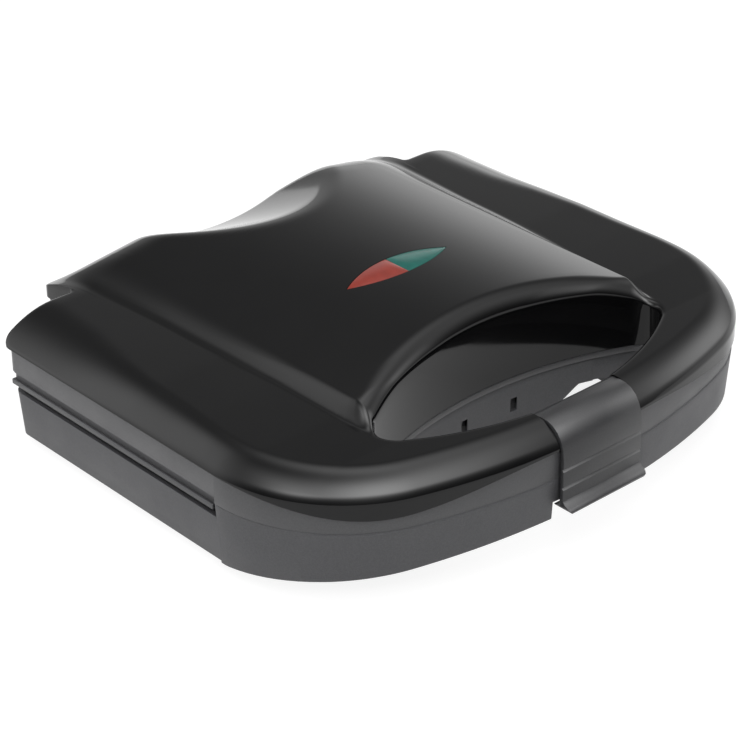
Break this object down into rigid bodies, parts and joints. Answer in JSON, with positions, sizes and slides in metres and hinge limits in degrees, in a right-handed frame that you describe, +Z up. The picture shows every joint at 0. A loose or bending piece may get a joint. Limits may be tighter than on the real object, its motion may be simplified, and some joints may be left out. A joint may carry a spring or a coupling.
{
  "type": "sandwich toaster",
  "caption": "Black two-slice sandwich toaster with a hinged gloss lid, a looped handle with a clip latch, red and green lamps and triangular cooking plates",
  "frame": {"origin": "On the table under the middle of the closed toaster's bounding box", "axes": "+X runs across the toaster, to the right seen from the handle; +Y runs from the handle to the hinge; +Z is up"},
  "size_m": [0.2424, 0.2246, 0.0673],
  "materials": {
    "gloss_black": "high gloss",
    "satin_black": "satin",
    "latch_black": "satin",
    "nonstick": "semi matt coating",
    "element_metal": "dull",
    "sheet_metal": "mill",
    "screw_steel": "zinc plated",
    "ceramic": "matt",
    "fuse_body": "dull",
    "rubber": "matt",
    "lamp_glass": "clear",
    "red_lens": "translucent",
    "green_lens": "translucent"
  },
  "bodies": {
    "base": {"base_shell": "satin_black", "lower_plate": "nonstick", "lower_element": "element_metal", "lower_heat_shield": "sheet_metal", "lower_plate_screws": "screw_steel", "terminal_block": "ceramic", "thermal_fuse": "fuse_body", "cord_grommet": "rubber", "cord_clamp": "ceramic", "cord_clamp_screws": "screw_steel", "rubber_feet": "rubber"},
    "lid": {"lid_cover": "gloss_black", "lid_frame": "satin_black", "hinge_brackets": "satin_black", "bracket_screws": "screw_steel", "hinge_pins": "screw_steel", "latch_mount": "satin_black", "latch_pin": "screw_steel", "upper_plate": "nonstick", "upper_element": "element_metal", "upper_heat_shield": "sheet_metal", "upper_plate_screws": "screw_steel", "lid_screws": "screw_steel", "thermostat": "sheet_metal", "lamp_holder": "ceramic", "neon_lamps": "lamp_glass", "red_lens": "red_lens", "green_lens": "green_lens"},
    "latch": {"latch": "latch_black"}
  },
  "joints": [
    {"name": "lid_hinge", "type": "hinge", "parent": "base", "child": "lid", "pos_m": [0, 0.1028, 0.0295], "axis": [-1, 0, 0], "range_deg": [0, 100]},
    {"name": "latch_hinge", "type": "hinge", "parent": "lid", "child": "latch", "pos_m": [0, -0.0946, 0.0465], "axis": [-1, 0, 0], "range_deg": [0, 40]}
  ]
}
